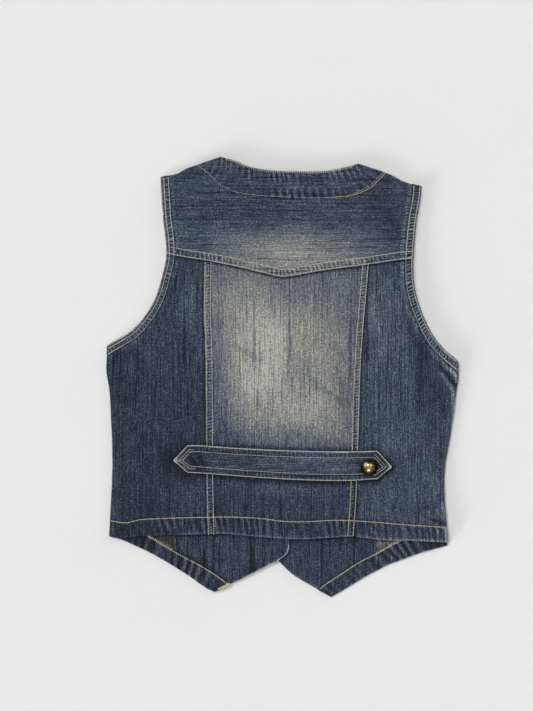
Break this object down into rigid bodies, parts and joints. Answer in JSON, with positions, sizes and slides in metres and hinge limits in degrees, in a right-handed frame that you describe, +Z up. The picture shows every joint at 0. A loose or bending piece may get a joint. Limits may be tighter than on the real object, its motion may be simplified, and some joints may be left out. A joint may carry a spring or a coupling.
{
  "type": "denim vest",
  "caption": "Short fitted denim vest laid flat on its front, with a pointed back yoke, banded armholes, a buttoned half belt, and fronts that end in points below the back hem.",
  "frame": {"origin": "on the surface that the vest lies on, under the middle of its bounding box", "axes": "+X towards the wearer's right side, +Y towards the neck, +Z up out of the back of the vest, away from the surface"},
  "size_m": [0.4048, 0.506, 0.0141],
  "materials": {
    "denim": "washed slub denim, matt",
    "faded_denim": "slub denim, worn pale, matt",
    "brass": "antique, polished on the dome"
  },
  "bodies": {
    "root": {"back_yoke": "denim", "back_centre_panel": "faded_denim", "back_side_panel_left": "denim", "back_side_panel_right": "denim", "armhole_band_back_left": "denim", "armhole_band_back_right": "denim", "armhole_band_front_left": "denim", "armhole_band_front_right": "denim", "front_left": "denim", "front_right": "denim", "front_facing_left": "denim", "front_facing_right": "denim", "front_hem_turn_left": "denim", "front_hem_turn_right": "denim", "half_belt": "denim", "half_belt_button": "brass", "front_button_1": "brass", "front_button_2": "brass", "front_button_3": "brass", "front_button_4": "brass"}
  },
  "joints": []
}
